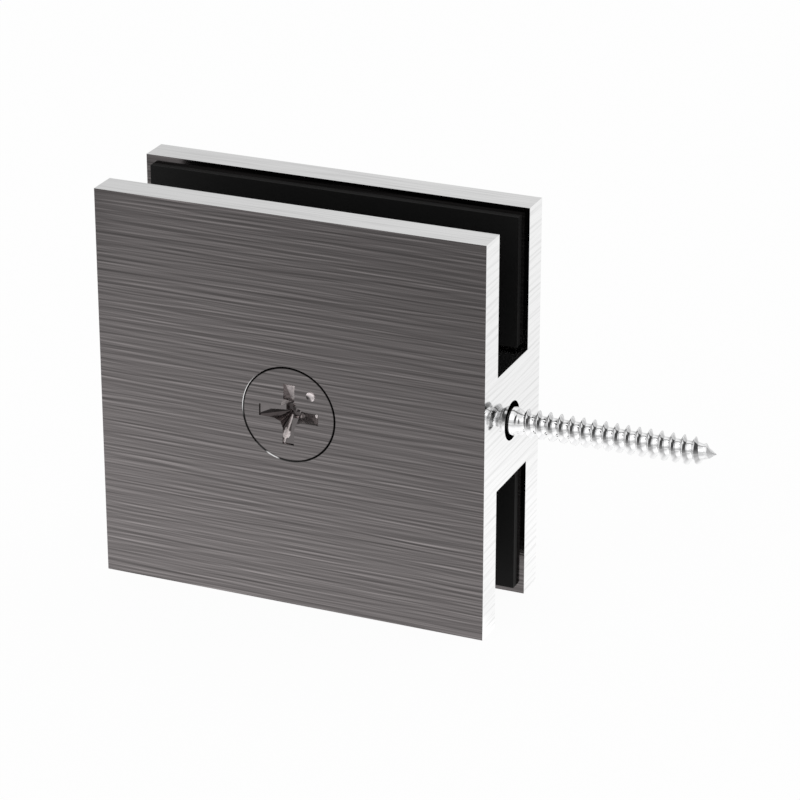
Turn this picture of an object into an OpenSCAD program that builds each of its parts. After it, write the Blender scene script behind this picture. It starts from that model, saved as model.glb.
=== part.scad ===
// Square clamp that holds the edge of a glass panel to a wall.
// Two flat plates grip the glass between rubber gaskets. One countersunk screw draws them together,
// and one wood screw through the block between them fastens the clamp to the wall.
// Frame: origin on the wall face, where the wall screw leaves it. +X into the wall, +Z up, front plate on -Y.

/* [Plates] */
// Width of each plate, from its glass edge to the wall face
plate_w = 50; // [46:1:80]
// Height of each plate
plate_h = 50; // [40:1:80]
// Thickness of each plate
plate_t = 4; // [3.8:0.1:6]
// Clear distance between the plates, which the block sets
slot_gap = 9.65; // [8.5:0.05:12]

/* [Wall block] */
// Depth of the block, from the wall face into the slot
block_l = 10; // [8:0.5:13]
// Height of the block
block_h = 14.5; // [12:0.5:20]

/* [Gaskets] */
// Thickness of each rubber gasket
gasket_t = 1; // [0.5:0.1:1.5]
// Margin of bare plate round each gasket
gasket_margin = 1; // [0.5:0.1:3]
// Space between a gasket and the block or the sleeve
gasket_clear = 0.4; // [0.3:0.1:1]

/* [Clamp screw] */
// Length of the clamp screw, over its countersunk head
clamp_screw_l = 16; // [15.7:0.1:16.5]
// Outer diameter of its thread
clamp_thread_d = 5.9; // [4.9:0.1:6.5]
// Diameter of its head
clamp_head_d = 11.8; // [10.5:0.1:12]
// Height of the straight rim under its head face
clamp_rim_h = 0.15; // [0.1:0.05:0.3]
// Cross recess from tip to tip
clamp_recess_w = 7.8; // [6:0.1:8]
// Width of each arm of the cross recess
clamp_recess_arm = 1.5; // [1:0.1:1.8]
// Depth of the cross recess in the middle
clamp_recess_depth = 2.8; // [1.5:0.1:3.2]
// Depth of the cross recess at the ends of its arms
clamp_recess_tip = 0.35; // [0.2:0.05:0.8]
// Turn of the cross recess, as the screw came to rest
clamp_recess_turn = 1.5; // [0:0.5:45]
// Diameter of the round dimple that marks the head as a standard one
mark_d = 1.2; // [0.6:0.1:1.4]
// Depth of that dimple
mark_depth = 0.3; // [0.1:0.05:0.5]
// Distance from the screw's axis to the dimple
mark_pitch_r = 4.05; // [3.8:0.05:4.4]
// Angle of the dimple round the axis, between two arms of the recess
mark_turn = 44; // [30:1:60]
// Depth of the tapped blind hole in the back plate
tapped_depth = 3.2; // [3:0.1:3.4]
// Free space between a screw's thread and the hole it runs in
thread_clear = 0.05; // [0.02:0.01:0.1]
// Width of the hole through the front plate, over the thread
clamp_hole_over = 0.5; // [0.3:0.1:1]
// Axial space between a countersunk head and its seat
seat_clear = 0.05; // [0.02:0.01:0.08]

/* [Sleeve] */
// Wall of the sleeve that keeps the clamp screw off the glass
sleeve_wall = 1.4; // [0.8:0.1:2]
// Space between the sleeve and the clamp screw
sleeve_clear = 0.15; // [0.05:0.05:0.3]
// End play of the sleeve between the plates
sleeve_play = 0.3; // [0.1:0.1:0.6]

/* [Wall screw] */
// Length of the wall screw, over its countersunk head
wall_screw_l = 35; // [25:1:50]
// Diameter of its smooth shank, and over its thread
wall_shank_d = 3.44; // [3:0.02:4]
// Diameter of the core under its thread
wall_core_d = 2.2; // [1.8:0.1:2.6]
// Pitch of its thread
wall_pitch = 1.38; // [1.2:0.02:1.8]
// Width of the thread's ridge where it meets the core
ridge_foot_w = 0.82; // [0.5:0.02:0.9]
// Width of the thread's crest
ridge_crest_w = 0.1; // [0.06:0.02:0.2]
// Diameter of its head
wall_head_d = 7; // [6.5:0.1:8]
// Height of the straight rim under its head face
wall_rim_h = 0.2; // [0.1:0.05:0.4]
// Depth of its head face below the mouth of the countersink
wall_head_sink = 0.35; // [0.1:0.05:0.8]
// Length of smooth shank that stands out of the wall face
shank_out = 0.55; // [0.2:0.05:2]
// Length of the pointed tip
tip_l = 2.6; // [2:0.1:5]
// Cross recess of the wall screw from tip to tip
wall_recess_w = 4.4; // [3:0.1:5]
// Width of each arm of that recess
wall_recess_arm = 1; // [0.6:0.1:1.2]
// Depth of that recess in the middle
wall_recess_depth = 1.7; // [1:0.1:2]
// Depth of that recess at the ends of its arms
wall_recess_tip = 0.3; // [0.2:0.05:0.6]
// Diameter of the clearance hole through the block
wall_hole_d = 4.85; // [4.4:0.05:5.5]

/* [Hidden] */
$fn = 96;
eps = 0.01;
// How far a cutting tool runs past the face that it enters or leaves
cut_past = 1;

// Planes across the clamp, from front to back
slot_front_y = -slot_gap / 2;
slot_back_y = slot_gap / 2;
front_face_y = slot_front_y - plate_t;
// The clamp screw stands at the middle of the plates
clamp_x = -plate_w / 2;
// The sleeve goes through a hole in each gasket
sleeve_r = clamp_thread_d / 2 + sleeve_clear + sleeve_wall;
gasket_hole_r = sleeve_r + gasket_clear;
wall_head_x = -block_l + wall_head_sink;
wall_tip_x = wall_head_x + wall_screw_l;
// The thread of the wall screw starts on the end of the neck and runs out near the point
core_r = wall_core_d / 2;
ridge_h = wall_shank_d / 2 - core_r;
neck_end_r = core_r + 2 * eps;
neck_x = shank_out + wall_shank_d / 2 - neck_end_r;
thread_sides = 24;
thread_start_turn = 103;
rise_steps = thread_sides / 3;
point_cap_l = 0.25;
fade_l = 2.9;
thread_steps = floor((wall_tip_x - point_cap_l - wall_pitch - neck_x) / wall_pitch * thread_sides);

// A plate lies in the XZ plane and spreads from y to y + plate_t
module plate(y) {
    translate([-plate_w, y, -plate_h / 2])
        cube([plate_w, plate_t, plate_h]);
}

// Lays what stands on +Z along the clamp screw's axis, from the front face backwards
module on_clamp_axis(y) {
    translate([clamp_x, y, 0])
        rotate([-90, 0, 0])
            children();
}

// Lays what stands on +Z along the wall screw's axis, towards the wall
module on_wall_axis(x) {
    translate([x, 0, 0])
        rotate([0, 90, 0])
            children();
}

// Room for a countersunk head whose face lies at z = 0: the head's own cone, seat_clear further on.
// Heads and countersinks are 90 degrees across, so a cone is as high as it narrows.
module countersink(head_d, rim_h, depth_before) {
    mouth_r = head_d / 2 + rim_h + seat_clear;
    translate([0, 0, -depth_before])
        cylinder(h = mouth_r + depth_before, r1 = mouth_r + depth_before, r2 = 0);
}

// Cross recess cut from z = 0 downwards along +Z. The floors of the arms slope from shallow ends to the middle,
// which flares towards the face, and a drilled point ends it.
module cross_recess(across, arm_w, tip_depth, depth) {
    tip = across / 2;
    half_arm = arm_w / 2;
    point_r = half_arm * 0.84;
    floor_depth = depth - point_r;
    flare_near = across * 0.15;
    flare_far = across * 0.31;
    flare_half = half_arm * 0.88;
    flare_taper = 0.5;
    for (turn = [0, 90])
        rotate([90, 0, turn])
            linear_extrude(height = arm_w, center = true)
                polygon([[-tip, -eps], [tip, -eps], [tip, tip_depth], [half_arm, floor_depth],
                         [-half_arm, floor_depth], [-tip, tip_depth]]);
    translate([0, 0, -eps])
        linear_extrude(height = floor_depth * 0.95, scale = flare_taper, slices = 1, $fn = 4)
            polygon([for (turn = [0:90:270], p = [[flare_far, flare_half], [flare_near, flare_near],
                                                  [flare_half, flare_far]])
                [p[0] * cos(turn) - p[1] * sin(turn), p[0] * sin(turn) + p[1] * cos(turn)]]);
    translate([0, 0, floor_depth - eps])
        cylinder(h = point_r, r1 = point_r, r2 = 0);
}

// Radius of the wall screw's core at x: full width, then a rounded point
function core_at(x) = core_r * sin(90 * min(1, max(0, wall_tip_x - x) / tip_l));

// Height of the thread: it rises out of the core in the first steps and dies out towards the point
function ridge_at(step, x) = ridge_h * min(1, step / rise_steps)
    * min(1, max(0, (wall_tip_x - point_cap_l - x) / (fade_l - point_cap_l)));

// A point of the core, at a step round it
function core_point(step, x) =
    let (turn = thread_start_turn + 360 * step / thread_sides)
    [core_at(x) * cos(turn), core_at(x) * sin(turn), x];

// A point of the thread, step by step along its helix. Places 0 and 3 are the ridge's feet, 1 and 2 its crest.
function thread_point(step, place) =
    let (flank = (ridge_foot_w - ridge_crest_w) / 2,
         along = [0, flank, flank + ridge_crest_w, ridge_foot_w],
         x = neck_x + wall_pitch * step / thread_sides + along[place],
         out = place == 1 || place == 2 ? 1 + ridge_at(step, x) / core_at(x) : 1,
         p = core_point(step, x))
    [p[0] * out, p[1] * out, x];

// Place of a thread point in the list. Across the valley lies the next turn's first foot, which is place 4.
function thread_index(step, place) =
    place == 4 ? thread_index(step + thread_sides, 0)
    : step <= thread_steps ? 4 * step + place
    : 3 * (thread_steps + 1) + step;

// Core, thread and point of the wall screw as one closed skin, from a flat end at neck_x to the point
module threaded_core() {
    last_foot = thread_steps + thread_sides;
    ring_start = thread_index(last_foot, 0);
    point_end = ring_start + thread_sides;
    points = concat(
        [for (step = [0:thread_steps], place = [0:3]) thread_point(step, place)],
        [for (step = [thread_steps + 1:last_foot]) thread_point(step, 0)],
        [for (step = [1:thread_sides - 1]) core_point(step, neck_x)],
        [[0, 0, wall_tip_x]]);
    // The flat end's corners: the first is the helix's own first point
    ring = [for (step = [0:thread_sides - 1]) step == 0 ? 0 : ring_start + step];
    skin = [for (step = [0:thread_steps - 1], place = [0:3], half = [0, 1])
        let (a = thread_index(step, place), b = thread_index(step + 1, place),
             c = thread_index(step + 1, place + 1), d = thread_index(step, place + 1))
        half == 0 ? [a, c, b] : [a, d, c]];
    // Between the flat end and the first turn the core shows as a wedge that widens round the screw
    wedge = [for (step = [0:thread_sides - 2], half = [0, 1])
        if (half == 0 || step > 0)
            half == 0 ? [ring[step], thread_index(step + 1, 0), ring[step + 1]]
            : [ring[step], thread_index(step, 0), thread_index(step + 1, 0)]];
    wedge_side = thread_index(thread_sides - 1, 0);
    wedge_end = concat([[ring[thread_sides - 1], wedge_side, ring[0]]],
        [for (place = [0:3]) [wedge_side, thread_index(0, place + 1), thread_index(0, place)]]);
    point_cap = concat(
        [for (step = [thread_steps:last_foot - 1])
            [point_end, thread_index(step + 1, 0), thread_index(step, 0)]],
        [for (place = [0:3]) [point_end, thread_index(thread_steps, place),
                              thread_index(thread_steps, place + 1)]]);
    polyhedron(points = points, faces = concat([ring], skin, wedge, wedge_end, point_cap));
}

// Back plate and block, machined from one piece of steel
module back_plate() {
    color("silver")
        difference() {
            union() {
                plate(slot_back_y);
                translate([-block_l, slot_front_y, -block_h / 2])
                    cube([block_l, slot_gap + eps, block_h]);
            }
            on_wall_axis(-block_l - cut_past)
                cylinder(h = block_l + 2 * cut_past, d = wall_hole_d);
            on_wall_axis(wall_head_x)
                countersink(wall_head_d, wall_rim_h, wall_head_sink + cut_past);
            on_clamp_axis(slot_back_y - cut_past)
                cylinder(h = tapped_depth + cut_past, d = clamp_thread_d + 2 * thread_clear);
        }
}

// Front plate, countersunk for the clamp screw
module front_plate() {
    color("silver")
        difference() {
            plate(front_face_y);
            on_clamp_axis(front_face_y)
                countersink(clamp_head_d, clamp_rim_h, cut_past);
            on_clamp_axis(front_face_y - cut_past)
                cylinder(h = plate_t + 2 * cut_past, d = clamp_thread_d + clamp_hole_over);
        }
}

// Rubber sheet cut to clear the block and the sleeve. It spreads from y to y + gasket_t.
module gasket(y) {
    color("#202122")
        translate([0, y + gasket_t, 0])
            rotate([90, 0, 0])
                linear_extrude(height = gasket_t)
                    difference() {
                        translate([-plate_w + gasket_margin, -plate_h / 2 + gasket_margin])
                            square([plate_w - 2 * gasket_margin, plate_h - 2 * gasket_margin]);
                        translate([-block_l - gasket_clear, -block_h / 2 - gasket_clear])
                            square([block_l + 2 * gasket_clear, block_h + 2 * gasket_clear]);
                        translate([clamp_x, 0])
                            circle(r = gasket_hole_r);
                    }
}

module back_gasket() {
    gasket(slot_back_y - gasket_t);
}

module front_gasket() {
    gasket(slot_front_y);
}

// Nylon sleeve round the clamp screw, standing on the back plate
module screw_sleeve() {
    length = slot_gap - sleeve_play;
    color("ivory")
        on_clamp_axis(slot_back_y - length)
            difference() {
                cylinder(h = length, r = sleeve_r);
                translate([0, 0, -cut_past])
                    cylinder(h = length + 2 * cut_past, r = sleeve_r - sleeve_wall);
            }
}

// Countersunk screw with a cross recess, flush with the front plate
module clamp_screw() {
    head_r = clamp_head_d / 2;
    thread_r = clamp_thread_d / 2;
    point_chamfer = 0.6;
    // Radius of the ball that leaves a dimple of this width and depth
    dimple_r = (mark_d * mark_d / 4 + mark_depth * mark_depth) / (2 * mark_depth);
    color("silver")
        on_clamp_axis(front_face_y)
            difference() {
                rotate_extrude()
                    polygon([[0, 0], [head_r, 0], [head_r, clamp_rim_h],
                             [thread_r, clamp_rim_h + head_r - thread_r],
                             [thread_r, clamp_screw_l - point_chamfer],
                             [thread_r - point_chamfer, clamp_screw_l], [0, clamp_screw_l]]);
                rotate([0, 0, clamp_recess_turn])
                    cross_recess(clamp_recess_w, clamp_recess_arm, clamp_recess_tip, clamp_recess_depth);
                rotate([0, 0, -mark_turn])
                    translate([mark_pitch_r, 0, mark_depth - dimple_r])
                        sphere(r = dimple_r);
            }
}

// Wood screw: countersunk head, smooth shank and neck, turned, with the threaded core on the neck's end
module wall_screw() {
    head_r = wall_head_d / 2;
    shank_r = wall_shank_d / 2;
    color("gainsboro")
        on_wall_axis(0)
            union() {
                difference() {
                    rotate_extrude()
                        polygon([[0, wall_head_x], [head_r, wall_head_x],
                                 [head_r, wall_head_x + wall_rim_h],
                                 [shank_r, wall_head_x + wall_rim_h + head_r - shank_r],
                                 [shank_r, shank_out], [neck_end_r, neck_x], [0, neck_x]]);
                    translate([0, 0, wall_head_x])
                        cross_recess(wall_recess_w, wall_recess_arm, wall_recess_tip, wall_recess_depth);
                }
                threaded_core();
            }
}

back_plate();
front_plate();
back_gasket();
front_gasket();
screw_sleeve();
clamp_screw();
wall_screw();
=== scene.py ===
# Square clamp that holds the edge of a glass panel to a wall: two brushed steel plates with a block
# between them, rubber gaskets, a clamp screw in a sleeve, and a wood screw for the wall.
# The wall face is the plane X = 0 and the wall lies on +X. Up is +Z, and the front plate is on -Y.

import math

import bmesh
import bpy
from mathutils import Matrix, Vector


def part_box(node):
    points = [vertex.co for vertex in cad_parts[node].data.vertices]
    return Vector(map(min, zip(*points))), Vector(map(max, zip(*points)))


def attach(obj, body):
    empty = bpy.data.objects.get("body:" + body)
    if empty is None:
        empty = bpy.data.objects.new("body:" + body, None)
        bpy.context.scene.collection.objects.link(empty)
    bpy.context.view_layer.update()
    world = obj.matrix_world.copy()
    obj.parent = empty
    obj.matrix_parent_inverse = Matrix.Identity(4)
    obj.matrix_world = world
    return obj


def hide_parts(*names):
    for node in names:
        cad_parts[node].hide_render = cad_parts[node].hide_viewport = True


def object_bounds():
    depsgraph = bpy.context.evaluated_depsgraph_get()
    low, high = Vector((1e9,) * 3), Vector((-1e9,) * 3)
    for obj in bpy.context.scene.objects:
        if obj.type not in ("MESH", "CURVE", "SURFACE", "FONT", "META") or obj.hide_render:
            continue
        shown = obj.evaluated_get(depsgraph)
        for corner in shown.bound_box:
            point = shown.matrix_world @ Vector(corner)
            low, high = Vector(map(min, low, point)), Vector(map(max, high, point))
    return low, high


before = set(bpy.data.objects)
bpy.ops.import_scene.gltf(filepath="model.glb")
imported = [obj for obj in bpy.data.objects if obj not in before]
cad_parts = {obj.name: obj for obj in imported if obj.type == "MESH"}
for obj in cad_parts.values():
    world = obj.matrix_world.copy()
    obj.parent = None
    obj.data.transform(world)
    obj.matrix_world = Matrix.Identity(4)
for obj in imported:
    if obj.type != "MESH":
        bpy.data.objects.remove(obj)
cad_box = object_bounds()
mm = 0.001


# Back plate and block -----------------------------------------------------------------------------
# The square back plate and the block that stands on it are machined from one piece of stainless
# steel. The big faces are brushed along X and the narrow faces are ground, with the fine lines of the
# grinding wheel. The big faces are painted dark and the narrow ones bright, as painted reflections
# of what the same steel mirrors there.


class Shade:
    """A value in a material's node tree. Python's operators on it add Math nodes."""

    def __init__(self, tree, socket=None):
        self.tree = tree
        self.socket = socket

    def node(self, kind, settings=(), sockets=(), output=0):
        """Adds a node of a kind: its settings first, then the values or links of its sockets."""
        made = self.tree.nodes.new(kind)
        for name, value in dict(settings).items():
            setattr(made, name, value)
        for name, value in dict(sockets).items():
            if isinstance(value, Shade):
                self.tree.links.new(value.socket, made.inputs[name])
            else:
                made.inputs[name].default_value = value
        return Shade(self.tree, made.outputs[output] if made.outputs else None)

    def other(self, output):
        """Another output of the same node."""
        return Shade(self.tree, self.socket.node.outputs[output])

    def math(self, operation, *others):
        return self.node("ShaderNodeMath", {"operation": operation}, dict(enumerate((self, *others))))

    def __add__(self, other):
        return self.math("ADD", other)

    __radd__ = __add__

    def __sub__(self, other):
        return self.math("SUBTRACT", other)

    def __rsub__(self, other):
        return self.node("ShaderNodeMath", {"operation": "SUBTRACT"}, {0: other, 1: self})

    def __mul__(self, other):
        return self.math("MULTIPLY", other)

    __rmul__ = __mul__

    def __gt__(self, other):
        return self.math("GREATER_THAN", other)

    def __lt__(self, other):
        return self.math("LESS_THAN", other)

    def __abs__(self):
        return self.math("ABSOLUTE")

    def vector(self, operation, *others):
        return self.node("ShaderNodeVectorMath", {"operation": operation},
                         dict(enumerate((self, *others))))

    def place(self):
        """Place on the piece, in metres."""
        return self.node("ShaderNodeTexCoord", output="Object")

    def facing(self):
        """Which way the surface faces, as its parts along X, Y and Z."""
        way = self.node("ShaderNodeSeparateXYZ", (), {0: self.node("ShaderNodeTexCoord", output="Normal")})
        return way, way.other("Y"), way.other("Z")

    def parts(self):
        """The parts of a vector along X, Y and Z."""
        split = self.node("ShaderNodeSeparateXYZ", (), {0: self})
        return split, split.other("Y"), split.other("Z")

    def noise(self, per_metre, detail=0.0):
        """Noise between 0 and 1 at this place, with so many cells to the metre along X, Y and Z."""
        spread = self.vector("MULTIPLY", per_metre)
        return self.node("ShaderNodeTexNoise", (), {"Vector": spread, "Scale": 1.0, "Detail": detail})

    def ease(self, low, high, start=0.0, end=1.0):
        """Goes smoothly from start to end as this value goes from low to high."""
        return self.node("ShaderNodeMapRange", {"interpolation_type": "SMOOTHSTEP"},
                         {"Value": self, "From Min": low, "From Max": high, "To Min": start, "To Max": end})

    def ramp(self, low, high, start=0.0, end=1.0):
        """Goes evenly from start to end as this value goes from low to high."""
        return self.node("ShaderNodeMapRange", (),
                         {"Value": self, "From Min": low, "From Max": high, "To Min": start, "To Max": end})

    def along(self, way):
        """How far this vector goes along a direction."""
        return self.vector("DOT_PRODUCT", way).other("Value")

    def distance(self, point):
        return self.vector("DISTANCE", point).other("Value")

    def between(self, low, high):
        """Goes from low to high as this value, a mask, goes from 0 to 1."""
        return self.node("ShaderNodeMix", {"data_type": "FLOAT"}, {0: self, 2: low, 3: high})

    def tinted(self, colour):
        """This grey level in a colour, which may vary too."""
        return self.node("ShaderNodeMix", {"data_type": "RGBA", "blend_type": "MULTIPLY"},
                         {0: 1.0, 6: colour, 7: self}, output=2)

    def mixed(self, low, high):
        """Colour that goes from low to high as this value, a mask, goes from 0 to 1."""
        return self.node("ShaderNodeMix", {"data_type": "RGBA"}, {0: self, 6: low, 7: high}, output=2)

    def relief(self, height):
        """Normal of a surface with a relief, whose height is this value times height in metres."""
        return self.node("ShaderNodeBump", (), {"Strength": 1.0, "Distance": height, "Height": self})


def finish(name, shade, **constants):
    """Makes a material. shade gives the sockets of its shader that vary over the surface."""
    material = bpy.data.materials.new(name)
    material.use_nodes = True
    material.node_tree.nodes.clear()
    surface = Shade(material.node_tree)
    shader = surface.node("ShaderNodeBsdfPrincipled", (), {**constants, **shade(surface)})
    surface.node("ShaderNodeOutputMaterial", (), {"Surface": shader})
    return material


def brush_lines(place, turned):
    """Brushed lines around 0, along X or, where turned, along Y. A coarse and a fine grit lie over
    each other. A grit's sizes are in mm: its lines' length and width, the step over which their
    height is compared, and the length, width and reach of their wander."""
    def cells(along, across):
        fine, long = 1 / (across * mm), 1 / (along * mm)
        return (fine, long, fine) if turned else (long, fine, fine)

    def raised(point, height):
        return point.vector("ADD", place.node("ShaderNodeCombineXYZ", (), {"Z": height}))

    def grit(along, across, step, wander_along, wander_across, reach):
        swept = raised(place, (place.noise(cells(wander_along, wander_across)) - 0.5) * (reach * mm))
        return swept.noise(cells(along, across)) - raised(swept, step * mm).noise(cells(along, across))

    if turned:
        return grit(11, 0.45, 0.3, 14, 2.5, 0.25) + 0.4 * grit(7, 0.25, 0.18, 9, 2, 0.2)
    return grit(11, 0.28, 0.22, 14, 2.5, 0.25) + 0.6 * grit(7, 0.17, 0.13, 9, 2, 0.2)


# Levels painted into the steel's colour: the dark big faces and bright edges are painted reflections, the
# near-black bores and countersink are painted shade, and the bright parts of the countersink's rim are
# painted highlights.
painted_face_level = 0.1265
painted_edge_level = 0.97
painted_bore_shade = 0.04
painted_rim_highlight = 0.7
painted_rim_shade = 0.03
plain_steel = (1, 1, 1, 1)
warm_grey = (1.058, 0.975, 0.975, 1)
wall_bore_r = 3.75 * mm
clamp_bore_r = 6.15 * mm
clamp_rim_r = 6.03 * mm
clamp_low, clamp_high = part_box("clamp_screw")
clamp_axis_x = (clamp_low.x + clamp_high.x) / 2
# Painted glint on the countersink's rim, below and left of the clamp screw.
painted_rim_glint = (clamp_axis_x - 2.2 * mm, clamp_low.y, -5.6 * mm)


def brushed_face_painted_dark(place, lines):
    """Grey level of a face brushed with these lines, on a dark level that is a painted reflection."""
    cloud = place.noise((25, 60, 90), detail=2.0) - 0.5
    return (0.97 * lines + 0.1 * cloud).math("EXPONENT") * painted_face_level


def brushed_shade(surface):
    """Brushed faces painted dark and ground edges painted bright, as painted reflections, and bores
    painted near black as painted shade. The countersink round the clamp screw is painted near black
    too, with a painted highlight on its rim at the upper left and a painted glint at one spot lower down."""
    place = surface.place()
    x, y, z = place.parts()
    facing_x, facing_y, facing_z = surface.facing()
    end_face = abs(facing_x) > 0.7
    big_face = abs(facing_y) > 0.9
    lines = end_face.between(brush_lines(place, False), brush_lines(place, True))
    # Ground edges painted bright and brushed faces painted dark: painted reflections.
    ground = (1 + 0.29 * lines) * painted_edge_level
    faces = big_face.between(ground, brushed_face_painted_dark(place, lines))
    # Bores painted near black: painted shade in the holes.
    wall_bore = ((y * y + z * z).math("SQRT") < wall_bore_r) * (abs(facing_x) < 0.9)
    beside = x - clamp_axis_x
    from_clamp_axis = (beside * beside + z * z).math("SQRT")
    clamp_bore = (from_clamp_axis < clamp_bore_r) * (abs(facing_y) < 0.9)
    # Countersink painted near black as painted shade, with a painted highlight on its rim at the upper left
    # and a painted glint lower down.
    upper_left = facing_x.ease(0.05, 0.25) * facing_z.ease(-0.05, 0.15, 1.0, 0.0)
    rim = ((from_clamp_axis > clamp_rim_r) * upper_left).between(painted_rim_shade, painted_rim_highlight)
    painted_glint = place.distance(painted_rim_glint).ease(0.5 * mm, 1.1 * mm, 0.6, 0.0)
    level = wall_bore.between(clamp_bore.between(faces, rim.math("MAXIMUM", painted_glint)), painted_bore_shade)
    return {"Base Color": level.tinted(big_face.mixed(plain_steel, warm_grey)),
            "Roughness": big_face.between(0.06, 0.14) + 0.06 * lines,
            "Normal": lines.relief(0.003 * mm)}


brushed_steel = finish("brushed_steel", brushed_shade, Metallic=1.0)
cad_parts["back_plate"].material_slots[0].material = brushed_steel


# Back gasket --------------------------------------------------------------------------------------
# Black rubber sheet, die cut to clear the block and the sleeve, and glued to the back plate. It
# keeps the glass off the steel.

rubber_black = (1.0, 0.99, 0.98, 1)
rubber_level = 0.005


def rubber_shade(surface):
    """Fine grain, and cut edges that are paler than the faces, with painted light that makes them paler
    still towards the bottom.
    """
    place = surface.place()
    cut_edge = abs(surface.facing()[1]) < 0.7
    # Painted light: the cut edges grow paler towards the bottom.
    edge_with_painted_light = place.parts()[2].ramp(-24 * mm, 0, 0.044, 0.014)
    grain = place.noise((6000, 6000, 6000), detail=2.0) - 0.5
    cloud = place.noise((90, 90, 90), detail=3.0) - 0.5
    level = cut_edge.between(rubber_level, edge_with_painted_light) * (1 + 0.5 * cloud + 0.5 * grain)
    return {"Base Color": level.tinted(rubber_black), "Roughness": 0.62 + 0.25 * grain,
            "Normal": grain.relief(0.02 * mm)}


rubber = finish("gasket_rubber", rubber_shade, **{"Specular IOR Level": 0.2})
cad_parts["back_gasket"].material_slots[0].material = rubber


# Screw sleeve -------------------------------------------------------------------------------------
# Short tube of ivory nylon, cut from extruded stock. It stands round the clamp screw between the
# plates, so that the glass never bears on the thread.

ivory = (1.0, 0.955, 0.86, 1)
nylon_level = 0.72


def nylon_shade(surface):
    """Cloudy nylon with draw lines along the tube and rougher cut ends."""
    place = surface.place()
    cut_end = abs(surface.facing()[1]) > 0.7
    cloud = place.noise((150, 90, 150), detail=3.0) - 0.5
    draw_lines = place.noise((3500, 120, 3500), detail=1.0) - 0.5
    level = nylon_level * (1 + 0.12 * cloud + 0.06 * draw_lines)
    return {"Base Color": level.tinted(ivory),
            "Roughness": cut_end.between(0.42, 0.6) + 0.1 * cloud,
            "Normal": draw_lines.relief(0.01 * mm)}


nylon = finish("sleeve_nylon", nylon_shade)
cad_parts["screw_sleeve"].material_slots[0].material = nylon


# Front gasket -------------------------------------------------------------------------------------
# The same black rubber sheet as on the back plate, die cut and glued to the inside of the front
# plate, so that the glass lies between rubber on both sides.

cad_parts["front_gasket"].material_slots[0].material = rubber


# Front plate --------------------------------------------------------------------------------------
# Loose square cover plate of the same brushed steel, countersunk for the clamp screw, which draws it
# on to the glass.

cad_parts["front_plate"].material_slots[0].material = brushed_steel


# Clamp screw --------------------------------------------------------------------------------------
# Countersunk machine screw of stainless steel. Its thread is rolled, and its head is brushed in one
# pass with the front plate. The cross recess and the round standard mark are cold formed, so they
# are smooth.

clamp_length = clamp_high.y - clamp_low.y
clamp_head_r = (clamp_high.x - clamp_low.x) / 2
clamp_rim = 0.15 * mm
rim_round = 0.04 * mm
clamp_crest_r = 2.95 * mm
clamp_root_r = 2.41 * mm
clamp_pitch = 1.0 * mm
clamp_thread_start = clamp_rim + clamp_head_r - clamp_root_r
clamp_run_in = 0.9 * mm
clamp_thread = [(-0.5 * mm, 0), (-0.375 * mm, 0), (-0.07 * mm, 0.97), (0, 1), (0.07 * mm, 0.97),
                (0.375 * mm, 0), (0.5 * mm, 0)]
mark_r = 0.6 * mm
mark_x, mark_z = 2.9 * mm, 2.8 * mm
turn_steps = 72


def threaded_rod(start, end, pitch, crest_at_top, ridge, radius_at):
    """Rod with a right-hand thread along +X, as a bmesh open at both ends, and its first ring.
    ridge is one turn's outline: places along X from the crest, with heights between 0 and 1. It is
    spun 1 mm off the axis, and each point then goes out or in to the radius for its place."""
    rod = bmesh.new()
    first = crest_at_top - pitch * math.ceil((crest_at_top - start) / pitch + 1)
    turns = math.ceil((end - first) / pitch) + 1
    line = [rod.verts.new((first + x, 0, 1 * mm + height * mm)) for x, height in ridge]
    edges = [rod.edges.new(pair) for pair in zip(line, line[1:])]
    bmesh.ops.spin(rod, geom=line + edges, cent=(0, 0, 0), axis=(1, 0, 0),
                   dvec=(pitch / turn_steps, 0, 0), angle=math.tau, steps=turn_steps)
    one_turn = rod.verts[:] + rod.edges[:] + rod.faces[:]
    for turn in range(1, turns):
        copy = bmesh.ops.duplicate(rod, geom=one_turn)["geom"]
        bmesh.ops.translate(rod, vec=(turn * pitch, 0, 0),
                            verts=[g for g in copy if isinstance(g, bmesh.types.BMVert)])
    bmesh.ops.remove_doubles(rod, verts=rod.verts, dist=0.002 * mm)
    for plane_x, way in ((start, -1), (end, 1)):
        bmesh.ops.bisect_plane(rod, geom=rod.verts[:] + rod.edges[:] + rod.faces[:], dist=1e-7,
                               plane_co=(plane_x, 0, 0), plane_no=(way, 0, 0), clear_outer=True)
    for vert in rod.verts:
        out = math.hypot(vert.co.y, vert.co.z)
        grown = radius_at(vert.co.x, out / mm - 1) / out
        vert.co.y *= grown
        vert.co.z *= grown
    bmesh.ops.recalc_face_normals(rod, faces=rod.faces)
    ring = [e for e in rod.edges if e.is_boundary and abs(e.verts[0].co.x - start) < 1e-6]
    return rod, ring


def turned(rod, ring, outline):
    """Goes on from a ring of edges through the radii of an outline, as (x, radius). The last ring is
    closed with a flat face, or at a point where its radius is 0."""
    for x, radius in outline:
        new = bmesh.ops.extrude_edge_only(rod, edges=ring)["geom"]
        verts = [g for g in new if isinstance(g, bmesh.types.BMVert)]
        ring = [g for g in new if isinstance(g, bmesh.types.BMEdge)
                and all(v in verts for v in g.verts)]
        out = math.hypot(verts[0].co.y, verts[0].co.z)
        bmesh.ops.scale(rod, vec=(1, radius / out, radius / out), verts=verts)
        bmesh.ops.translate(rod, vec=(x - verts[0].co.x, 0, 0), verts=verts)
    if outline[-1][1] > 0:
        bmesh.ops.edgeloop_fill(rod, edges=ring)
    else:
        bmesh.ops.remove_doubles(rod, verts=verts, dist=1e-6)


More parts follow.
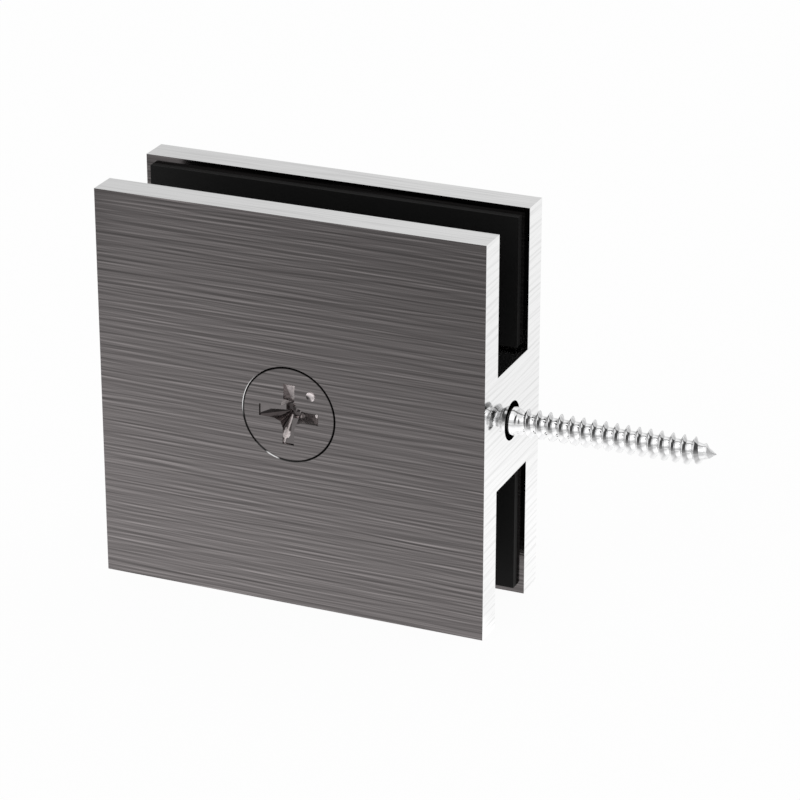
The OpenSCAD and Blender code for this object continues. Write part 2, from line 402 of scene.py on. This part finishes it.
def made(name, mesh_source):
    """Makes a piece of a bmesh and links it to the scene."""
    mesh = bpy.data.meshes.new(name)
    bmesh.ops.recalc_face_normals(mesh_source, faces=mesh_source.faces)
    mesh_source.to_mesh(mesh)
    mesh_source.free()
    piece = bpy.data.objects.new(name, mesh)
    bpy.context.scene.collection.objects.link(piece)
    return piece


def carved(piece, cutters):
    """Cuts closed bmeshes out of a piece, one by one."""
    for cutter in cutters:
        tool = made("cutter", cutter)
        cut = piece.modifiers.new("cut", "BOOLEAN")
        cut.object, cut.operation, cut.solver = tool, "DIFFERENCE", "EXACT"
        view = bpy.context.evaluated_depsgraph_get()
        solid = bpy.data.meshes.new_from_object(piece.evaluated_get(view))
        piece.modifiers.clear()
        piece.data = solid
        bpy.data.objects.remove(tool)


def cross_recess(x, across, arm, depth, tip_depth, turn):
    """Cutters of a cross recess in a head whose face is at x: two arms whose floors slope down to
    the middle, a flared middle and a pointed floor."""
    cutters = []
    above = x - 0.5 * mm
    half = across / 2
    floor = [(above, -half), (x + tip_depth, -half * 0.985), (x + depth * 0.86, -arm * 0.45),
             (x + depth * 0.86, arm * 0.45), (x + tip_depth, half * 0.985), (above, half)]
    for quarter in (0, 1):
        cutter = bmesh.new()
        face = cutter.faces.new([cutter.verts.new((px, -arm / 2, pz)) for px, pz in floor])
        grown = bmesh.ops.extrude_face_region(cutter, geom=[face])["geom"]
        bmesh.ops.translate(cutter, vec=(0, arm, 0),
                            verts=[g for g in grown if isinstance(g, bmesh.types.BMVert)])
        deep = [v for v in cutter.verts if v.co.x > x + depth * 0.5]
        bmesh.ops.scale(cutter, vec=(1, 0.62, 1), verts=deep)
        bmesh.ops.rotate(cutter, cent=(0, 0, 0), verts=cutter.verts,
                         matrix=Matrix.Rotation(turn + quarter * math.pi / 2, 3, "X"))
        cutters.append(cutter)
    flare = bmesh.new()
    near, far = across * 0.15, across * 0.31
    beside = arm * 0.44
    corners = [(far, beside), (near, near), (beside, far)]
    star = [Matrix.Rotation(turn + quarter * math.pi / 2, 3, "X") @ Vector((above, cy, cz))
            for quarter in range(4) for cy, cz in corners]
    face = flare.faces.new([flare.verts.new(corner) for corner in star])
    grown = bmesh.ops.extrude_face_region(flare, geom=[face])["geom"]
    lower = [g for g in grown if isinstance(g, bmesh.types.BMVert)]
    bmesh.ops.translate(flare, vec=(depth * 0.9 + 0.5 * mm, 0, 0), verts=lower)
    bmesh.ops.scale(flare, vec=(1, 0.42, 0.42), verts=lower)
    cutters.append(flare)
    point = bmesh.new()
    bmesh.ops.create_cone(point, cap_ends=True, segments=32, radius1=arm * 0.42, radius2=0,
                          depth=arm * 0.5, matrix=Matrix.Translation((x + depth * 0.88 + arm * 0.25, 0, 0))
                          @ Matrix.Rotation(math.pi / 2, 4, "Y"))
    cutters.append(point)
    return cutters


def clamp_radius(x, height):
    rise = min(1, max(0, (x - clamp_thread_start) / clamp_run_in))
    thread_r = clamp_root_r + (clamp_crest_r - clamp_root_r) * height * rise
    chamfer_r = clamp_root_r - 0.06 * mm + clamp_length - x
    return min(thread_r, chamfer_r)


rod, ring = threaded_rod(clamp_thread_start, clamp_length, clamp_pitch, 0, clamp_thread, clamp_radius)
far_ring = [e for e in rod.edges if e.is_boundary and e not in ring]
turned(rod, ring, [(clamp_rim, clamp_head_r), (rim_round, clamp_head_r),
                   (rim_round * 0.3, clamp_head_r - rim_round * 0.3), (0, clamp_head_r - rim_round)])
turned(rod, far_ring, [(clamp_length, clamp_root_r - 0.2 * mm)])
clamp_screw = made("machine_screw", rod)
recess = cross_recess(0, across=7.8 * mm, arm=1.5 * mm, depth=2.8 * mm, tip_depth=0.35 * mm,
                      turn=math.radians(1.5))
dimple = bmesh.new()
bmesh.ops.create_uvsphere(dimple, u_segments=48, v_segments=32, radius=mark_r * 1.37,
                          matrix=Matrix.Translation((-mark_r * 0.93, -mark_x, mark_z)))
carved(clamp_screw, [*recess, dimple])
stand = Matrix.Translation((clamp_axis_x, clamp_low.y, 0)) @ Matrix.Rotation(math.pi / 2, 4, "Z")
clamp_screw.data.transform(stand)


def smooth(piece, corner):
    """Shades a piece smooth, but for edges sharper than a corner in degrees."""
    piece.data.shade_smooth()
    piece.data.set_sharp_from_angle(angle=math.radians(corner))


# Painted highlights in the recess: pale places that stand for the glints of lamps, a streak through a
# point along a way, and two spots, each with its reach.
painted_glint_white = (1.0, 0.93, 0.92, 1)
streak_point = Vector((clamp_axis_x - 0.75 * mm, clamp_low.y + 0.35 * mm, -3.84 * mm))
streak_way = Vector((0.285, 2.06, 3.165)).normalized()
painted_glint_spots = (((clamp_axis_x - 0.72 * mm, clamp_low.y + 0.75 * mm, -2.7 * mm), 0.66 * mm),
              ((clamp_axis_x + 3.3 * mm, clamp_low.y + 0.55 * mm, 0.2 * mm), 0.36 * mm))
recess_reach = 4.2 * mm


def screw_shade(surface):
    """A head face brushed and painted dark like the plate round it, with painted shade at its rim, and a
    smooth recess and mark, whose levels are painted light and shade by the way each face turns. The
    painted highlights in the recess are only partly metal."""
    place = surface.place()
    x, y, z = place.parts()
    facing_x, facing_y, facing_z = surface.facing()
    from_axis = place.distance((clamp_axis_x, clamp_low.y, 0))
    head_face = (abs(facing_y) > 0.9) * (y < clamp_low.y + 0.03 * mm)
    mark = place.distance((clamp_axis_x + mark_x, clamp_low.y, mark_z)) < mark_r * 1.2
    in_recess = (from_axis < recess_reach) * (1 - head_face) * (1 - mark)
    lines = brush_lines(place, False)
    worked = place.noise((900, 900, 900), detail=3.0) - 0.5
    from_streak = (place.vector("SUBTRACT", tuple(streak_point)).vector("CROSS_PRODUCT", tuple(streak_way))
                   .vector("LENGTH").other("Value"))
    painted_glints = ((from_streak + 0.2 * mm * worked).ease(0.07 * mm, 0.13 * mm, 1.0, 0.0)
            * (z < -0.9 * mm) * (z > -3.9 * mm))
    for spot, reach in painted_glint_spots:
        from_spot = place.distance(spot) + 1.2 * mm * worked
        painted_glints = painted_glints.math("MAXIMUM", from_spot.ease(reach * 0.8, reach, 1.0, 0.0))
    # The floor of the upper arm and the right arm get pale painted light too.
    top_floor = (z > 0.9 * mm) * (facing_z < -0.2) * (0.6 + 1.6 * worked)
    right_arm = (x > clamp_axis_x + 0.9 * mm) * (z < 0.9 * mm) * (0.15 + 0.4 * worked)
    painted_glints = in_recess * painted_glints.math("MAXIMUM", top_floor).math("MAXIMUM", right_arm)
    # Painted light and shade: the recess's floors and walls are lighter or darker by the way they face.
    painted_slope_levels = (facing_z < -0.2).between((facing_z > 0.2).between(0.18, 0.11), 0.85)
    recess_level = (abs(facing_y) > 0.6).between(0.3, painted_slope_levels)
    # Painted shade on the mark's dimple, darker where its wall faces up and to the right.
    painted_dimple_level = (facing_x + facing_z).ease(0.3, 0.75, 0.66, 0.12)
    formed = mark.between(recess_level, painted_dimple_level) * (1 + 0.3 * worked)
    # Painted shade: the head is darker in a narrow band at its rim.
    rim = from_axis.ease(clamp_head_r - 0.1 * mm, clamp_head_r - 0.05 * mm, 1.0, 0.25)
    level = head_face.between(formed, brushed_face_painted_dark(place, lines) * rim)
    formed_roughness = mark.between(0.1, 0.3) + 0.06 * worked
    return {"Base Color": painted_glints.mixed(level.tinted(warm_grey), painted_glint_white),
            "Metallic": 1 - painted_glints,
            "Roughness": head_face.between(formed_roughness, 0.14 + 0.06 * lines),
            "Normal": head_face.between(worked, lines).relief(0.003 * mm)}


smooth(clamp_screw, 20)
clamp_screw.data.materials.append(finish("screw_steel", screw_shade))
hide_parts("clamp_screw")
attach(clamp_screw, "clamp_screw")


# Wall screw ---------------------------------------------------------------------------------------
# Countersunk wood screw that holds the block to the wall. It is turned and thread rolled from steel
# wire, with a smooth shank, a neck and a sharp point, and is then plated bright.

wall_low, wall_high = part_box("wall_screw")
wall_head_r = wall_high.z
wall_rim = 0.2 * mm
shank_r = 1.72 * mm
shank_end = 0.5 * mm
core_r = 1.1 * mm
wall_pitch = 1.38 * mm
wall_crest_at_top = 1.99 * mm
neck_length = 1.24 * mm
neck_step = 0.07 * mm
neck_step_end = shank_end + 0.45 * mm
thread_start = shank_end + 0.6 * mm
run_in = 0.3 * mm
point_length = 2.6 * mm
point_cap = 0.25 * mm
run_out = 2.9 * mm
wall_thread = [(-0.69 * mm, 0), (-0.42 * mm, 0), (-0.36 * mm, 0.06), (-0.05 * mm, 1), (0.05 * mm, 1),
               (0.36 * mm, 0.06), (0.42 * mm, 0), (0.69 * mm, 0)]


def wall_radius(x, height):
    """The neck tapers into the core and the core into the point. The ridge is never wider than the
    shank, and it rises over its run in and fades over its run out."""
    to_tip = wall_high.x - x
    point = core_r * math.sin(math.pi / 2 * min(1, to_tip / point_length))
    neck = shank_r - (shank_r - core_r) * (x - shank_end) / neck_length
    core = max(point, neck)
    fade = min(1, max(0, (to_tip - point_cap) / (run_out - point_cap)))
    rise = min(1, max(0, (x - thread_start) / run_in))
    return core + min(shank_r - core, shank_r - core_r) * height * fade * rise


rod, ring = threaded_rod(thread_start, wall_high.x - point_cap, wall_pitch, wall_crest_at_top, wall_thread,
                         wall_radius)
tip_ring = [e for e in rod.edges if e.is_boundary and e not in ring]
turned(rod, tip_ring, [(wall_high.x - point_cap * 0.4, core_r * 0.07), (wall_high.x, 0)])
under_head = wall_low.x + wall_rim + wall_head_r - shank_r
past_step = neck_step_end + neck_step / 2
step_foot_r = wall_radius(neck_step_end, 0)
turned(rod, ring, [(past_step, wall_radius(past_step, 0)), (neck_step_end, step_foot_r),
                   (neck_step_end - neck_step, step_foot_r + neck_step), (shank_end, shank_r),
                   (under_head, shank_r), (wall_low.x + wall_rim, wall_head_r), (wall_low.x, wall_head_r)])
wall_screw = made("wood_screw", rod)
carved(wall_screw, cross_recess(wall_low.x, across=4.4 * mm, arm=1.0 * mm, depth=1.7 * mm,
                                tip_depth=0.3 * mm, turn=0))
smooth(wall_screw, 65)
plating_white = (1.0, 1.0, 1.005, 1)
plating_level = 0.97
painted_hole_shade = 0.03
hole_shade_end = 0.2 * mm


def plated_shade(surface):
    """Bright plating, with painted shade near black on the shank in the hole and 0.2 mm out of it. The
    ridges' sides towards the head are painted darker as painted shade, most of all on the first two, and
    the tip is made only half metal so that it renders paler, which is painted light."""
    place = surface.place()
    x = place.parts()[0]
    # Painted shade on the shank in the hole and just outside it.
    in_hole = (x < hole_shade_end) * (x > under_head)
    # Painted shade on the ridges' sides that face the head.
    towards_head = (0 - surface.facing()[0]).ease(0.4, 0.6)
    painted_side_shade = x.ramp(3 * mm, 4.5 * mm, 0.28, 0.6)
    rolled = place.noise((250, 1500, 1500), detail=3.0) - 0.5
    cloud = place.noise((120, 300, 300), detail=2.0) - 0.5
    plated = in_hole.between(towards_head.between(plating_level, painted_side_shade), painted_hole_shade)
    level = plated * (1 + 0.06 * rolled + 0.05 * cloud)
    # The tip is made half metal so that it renders paler: painted light.
    return {"Base Color": level.tinted(plating_white),
            "Metallic": x.ease(wall_high.x - 1.4 * mm, wall_high.x - 1.2 * mm, 1.0, 0.5),
            "Roughness": 0.055 + 0.05 * rolled,
            "Normal": rolled.relief(0.002 * mm)}


wall_screw.data.materials.append(finish("bright_plating", plated_shade))
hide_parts("wall_screw")
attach(wall_screw, "wall_screw")


# Floor and light ----------------------------------------------------------------------------------
# The clamp stands on its bottom edges on a white studio floor, under a pale sky of soft light. A wide
# softbox stands in front on the left, and a smaller one behind on the right.

floor_z = cad_box[0].z


def lit_ground(surface):
    """White where it is seen, with the object's faint shadow. Where metal mirrors it, it is a pool of
    light with its brightest part at the clamp. The pool grows darker evenly to the front and a little
    to the back, is greyer on both sides, and a second one lies far in front."""
    path = surface.node("ShaderNodeLightPath")
    place = surface.place()
    y = place.parts()[1]
    front = place.along((-0.555, 0.832, 0)).ramp(-0.073, 0.02, 0.5, 1.2)
    back = y.ramp(-0.02, 0.06, 1.0, 0.74)
    near = y.ease(-0.009, -0.001, 1.25, 1.0)
    right = place.along((0.8, 0.6, 0)).ease(0.015, 0.035) * place.along((0.6, -0.8, 0)).ease(0, 0.03)
    left = place.along((-0.921, 0.389, 0)).ease(0.052, 0.06)
    far = place.along((-0.6, -0.8, 0)).ease(0.16, 0.22, 0.0, 0.5)
    pool = front * back * near * left.between(1.0, 0.58) * right.between(1.0, 0.6) + far * (1 - left)
    paint = surface.node("ShaderNodeBsdfDiffuse", (), {"Color": (0.86, 0.86, 0.86, 1)})
    white = surface.node("ShaderNodeEmission", (), {"Strength": 1.0})
    mirrored = surface.node("ShaderNodeEmission", (), {"Strength": pool})
    seen = surface.node("ShaderNodeMixShader", (), {0: path * 0.96, 1: paint, 2: white})
    sheen = path.other("Is Glossy Ray").math("MAXIMUM", path.other("Is Transmission Ray"))
    both = surface.node("ShaderNodeMixShader", (), {0: sheen * 0.96, 1: seen, 2: mirrored})
    clear = surface.node("ShaderNodeBsdfTransparent")
    under = surface.node("ShaderNodeNewGeometry", output="Backfacing")
    return surface.node("ShaderNodeMixShader", (), {0: under, 1: both, 2: clear})


floor_half = 2.0
ground = bmesh.new()
bmesh.ops.create_grid(ground, x_segments=1, y_segments=1, size=floor_half,
                      matrix=Matrix.Translation((0, 0, floor_z)))
floor = made("floor", ground)
paint = bpy.data.materials.new("studio_floor")
paint.use_nodes = True
paint.node_tree.nodes.clear()
ground_surface = Shade(paint.node_tree)
ground_surface.node("ShaderNodeOutputMaterial", (), {"Surface": lit_ground(ground_surface)})
floor.data.materials.append(paint)

sky = bpy.data.worlds.new("sky")
sky.use_nodes = True
sky.node_tree.nodes.clear()
air = Shade(sky.node_tree)
path = air.node("ShaderNodeLightPath")
way = air.node("ShaderNodeTexCoord", output="Generated")
way_x, way_y, way_z = way.parts()

# What metal mirrors of the sky: bright above and in front, greyer low down and behind, with a dark gap
# between the two, and dark on the right.
sky_high = 1.15
behind = way_z.ease(0.3, 0.75, way_x.ramp(-0.5, -0.2, 0.57, 0.76), 0.9)
gap = abs(way_y - 0.3).ease(0.06, 0.16, 0.3, 1.0)
overhead = way_z.ease(0.94, 0.975, 1.0, 0.78)
towards_right = way_x.ease(0.1, 0.3, 1.0, 0.68)
above = way_y.ease(0.2, 0.4, sky_high, behind) * gap * towards_right * overhead
in_front = way_z.ease(0.42, 0.52).between(way_z.ramp(0.0, 0.4, 0.52, 0.76), sky_high)
front_and_back = (0 - way_y).ease(0.3, 0.5).between(above, in_front)
right_side = way_x.ease(0.54, 0.62) * way_z.ease(0.7, 0.8, 1.0, 0.0)
mirrored = right_side.between(front_and_back, way_z.ramp(0.05, 0.45, 0.22, 0.06))
sheen = path.other("Is Glossy Ray").math("MAXIMUM", path.other("Is Transmission Ray"))
soft_light = 0.72
strength = path.math("MAXIMUM", sheen.between(soft_light, mirrored))
light = air.node("ShaderNodeBackground", (), {"Color": (1, 1, 1, 1), "Strength": strength})
air.node("ShaderNodeOutputWorld", (), {"Surface": light})
bpy.context.scene.world = sky


def softbox(name, place, aim, size, radiance):
    """A square lamp at a place, facing a point, with the brightness of its face. Metal doesn't mirror
    it."""
    lamp = bpy.data.lights.new(name, "AREA")
    lamp.size = size
    lamp.energy = radiance * math.pi * size * size
    box = bpy.data.objects.new(name, lamp)
    box.location = place
    box.visible_glossy = False
    box.rotation_euler = (Vector(aim) - Vector(place)).to_track_quat("-Z", "Y").to_euler()
    bpy.context.scene.collection.objects.link(box)


softbox("key_light", (-0.35, -0.75, 0.55), (0, 0, 0), 0.6, 1.4)
softbox("rim_light", (0.35, 0.3, 0.8), (0, 0, 0), 0.4, 1.3)


# Camera -------------------------------------------------------------------------------------------
# It stands in front, to the right and above, with a long lens, so that the plates' edges stay nearly
# parallel.

azimuth, elevation = math.radians(23.05), math.radians(23.08)
aim = Vector((-0.01311, -0.00301, 0.00162))
distance = 0.39633
lens = bpy.data.cameras.new("camera")
lens.sensor_width = 36
lens.lens = 150.38
lens.dof.use_dof = False
camera = bpy.data.objects.new("camera", lens)
back = Vector((math.sin(azimuth) * math.cos(elevation), -math.cos(azimuth) * math.cos(elevation),
               math.sin(elevation)))
camera.location = aim + distance * back
camera.rotation_euler = (math.pi / 2 - elevation, 0, azimuth)
bpy.context.scene.collection.objects.link(camera)
bpy.context.scene.camera = camera
bpy.context.scene.view_settings.view_transform = "Standard"
